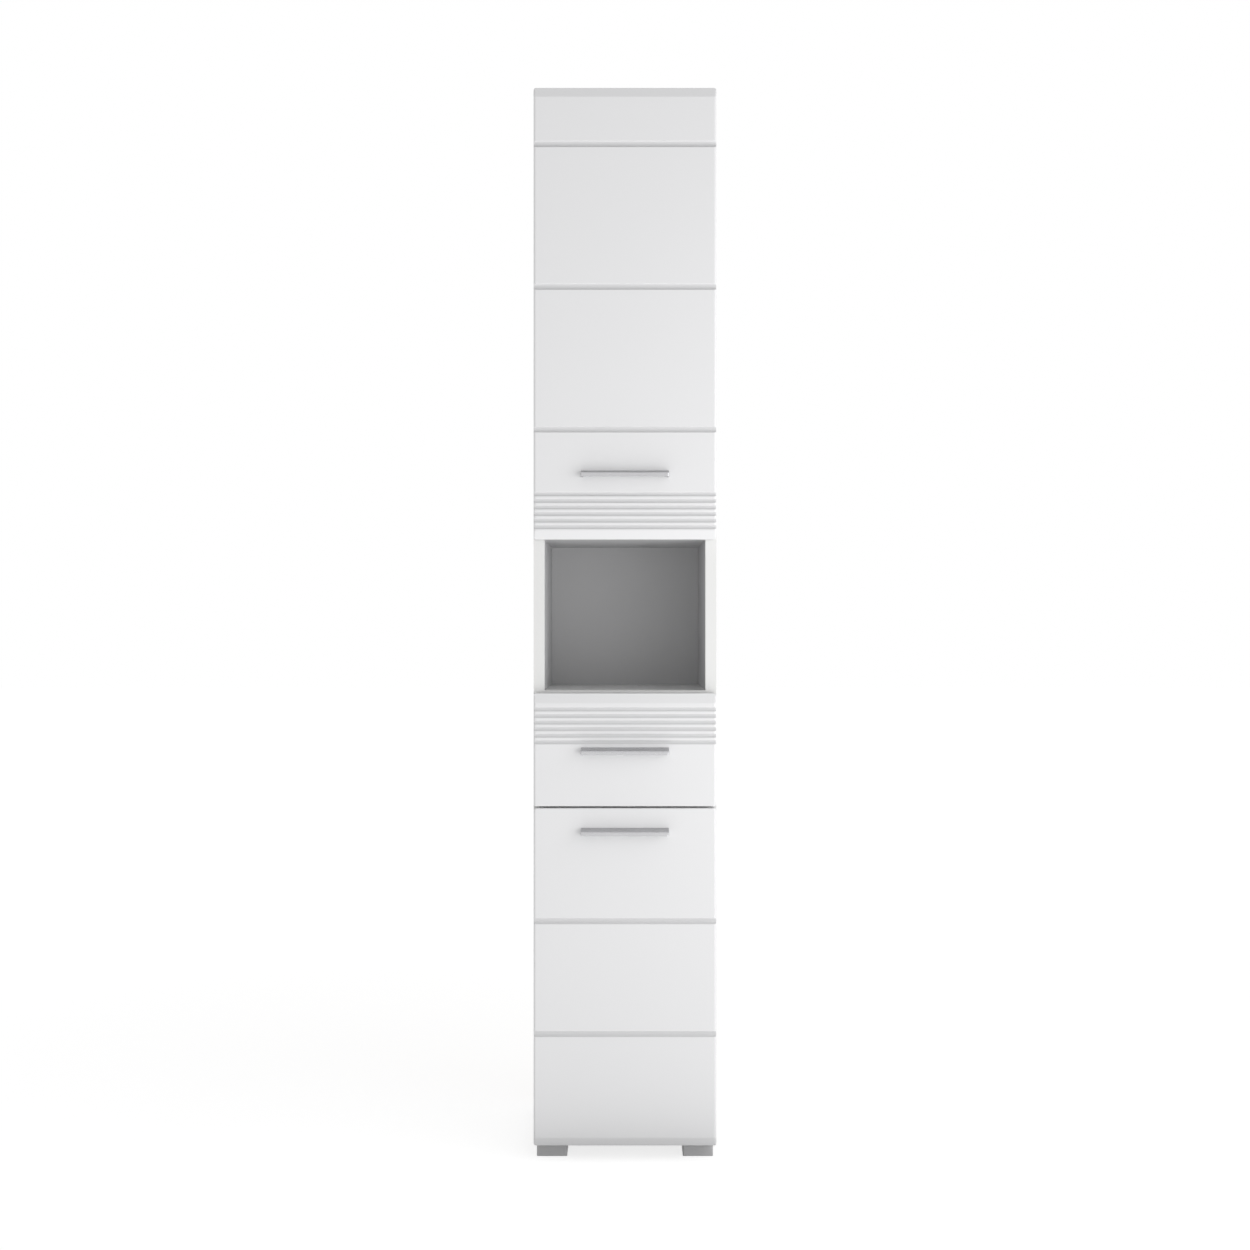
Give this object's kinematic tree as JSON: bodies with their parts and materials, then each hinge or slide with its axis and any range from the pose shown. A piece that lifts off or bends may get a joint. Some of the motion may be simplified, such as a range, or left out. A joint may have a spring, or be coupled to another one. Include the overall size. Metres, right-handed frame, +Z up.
{
  "type": "tall bathroom cabinet",
  "caption": "Tall narrow white bathroom cabinet with a hinged door above, an open niche, a drawer and a hinged door below, on low grey feet.",
  "frame": {"origin": "on the floor, under the middle of the whole from side to side and front to back", "axes": "+Z up, +X to the right seen from the front, +Y to the back; the fronts face -Y"},
  "size_m": [0.3, 0.331, 1.75],
  "materials": {
    "front_white": "fibreboard with a gloss white foil",
    "board_white": "chipboard with matt white melamine and edging",
    "back_white": "thin hardboard, painted white",
    "niche_grey": "thin hardboard, painted grey",
    "drawer_white": "chipboard with matt white melamine",
    "dowel_wood": "bare beech",
    "foot_grey": "moulded, silver grey",
    "handle_metal": "satin, light silver grey",
    "nickel_steel": "nickel plated",
    "zinc": "die-cast zinc",
    "rail_white": "white powder coat",
    "roller_plastic": "plain white nylon",
    "bumper_clear": "soft, clear"
  },
  "bodies": {
    "carcass": {"left_side": "board_white", "right_side": "board_white", "top_panel": "board_white", "bottom_panel": "board_white", "niche_ceiling": "board_white", "niche_floor": "board_white", "drawer_divider": "board_white", "upper_back": "back_white", "niche_back": "niche_grey", "lower_back": "back_white", "high_shelf": "board_white", "low_shelf": "board_white", "lower_shelf": "board_white", "shelf_pins": "nickel_steel", "cam_locks": "zinc", "cam_bolts": "nickel_steel", "dowels": "dowel_wood", "front_left_foot": "foot_grey", "front_right_foot": "foot_grey", "rear_left_foot": "foot_grey", "rear_right_foot": "foot_grey", "foot_screws": "nickel_steel", "wall_bracket": "nickel_steel", "bracket_screws": "nickel_steel", "hinge_plates": "nickel_steel", "hinge_plate_screws": "nickel_steel", "hinge_arms": "nickel_steel", "hinge_arm_screws": "nickel_steel", "left_cabinet_rail": "rail_white", "right_cabinet_rail": "rail_white", "rail_screws": "nickel_steel"},
    "upper_door": {"upper_door_panel": "front_white", "upper_handle": "handle_metal", "upper_handle_screws": "nickel_steel", "upper_hinge_cups": "nickel_steel", "upper_hinge_pins": "nickel_steel", "upper_cup_screws": "nickel_steel", "upper_door_bumpers": "bumper_clear"},
    "lower_door": {"lower_door_panel": "front_white", "lower_handle": "handle_metal", "lower_handle_screws": "nickel_steel", "lower_hinge_cups": "nickel_steel", "lower_hinge_pins": "nickel_steel", "lower_cup_screws": "nickel_steel", "lower_door_bumpers": "bumper_clear"},
    "drawer": {"drawer_front": "front_white", "drawer_left_side": "drawer_white", "drawer_right_side": "drawer_white", "drawer_back": "drawer_white", "drawer_bottom": "back_white", "drawer_handle": "handle_metal", "drawer_handle_screws": "nickel_steel", "drawer_cam_locks": "zinc", "drawer_cam_bolts": "nickel_steel", "drawer_back_screws": "nickel_steel", "left_drawer_rail": "rail_white", "right_drawer_rail": "rail_white", "drawer_bumpers": "bumper_clear"},
    "front_rollers": {"front_rollers": "roller_plastic"},
    "rear_rollers": {"rear_rollers": "roller_plastic"}
  },
  "joints": [
    {"name": "upper_door_hinge", "type": "hinge", "parent": "carcass", "child": "upper_door", "pos_m": [-0.141, -0.138, 1.3815], "axis": [0, 0, -1], "range_deg": [0, 95]},
    {"name": "lower_door_hinge", "type": "hinge", "parent": "carcass", "child": "lower_door", "pos_m": [-0.141, -0.138, 0.2995], "axis": [0, 0, -1], "range_deg": [0, 95]},
    {"name": "drawer_slide", "type": "slide", "parent": "carcass", "child": "drawer", "axis": [0, -1, 0], "range_m": [0, 0.19]},
    {"name": "front_rollers_spin", "type": "hinge", "parent": "carcass", "child": "front_rollers", "pos_m": [0, -0.1105, 0.6071], "axis": [1, 0, 0], "continuous": true},
    {"name": "rear_rollers_spin", "type": "hinge", "parent": "drawer", "child": "rear_rollers", "pos_m": [0, 0.1105, 0.6065], "axis": [1, 0, 0], "continuous": true}
  ],
  "couplings": [
    {"joint": "front_rollers_spin", "follows": "drawer_slide", "rad_per_m": 133.33},
    {"joint": "rear_rollers_spin", "follows": "drawer_slide", "rad_per_m": 133.33}
  ]
}
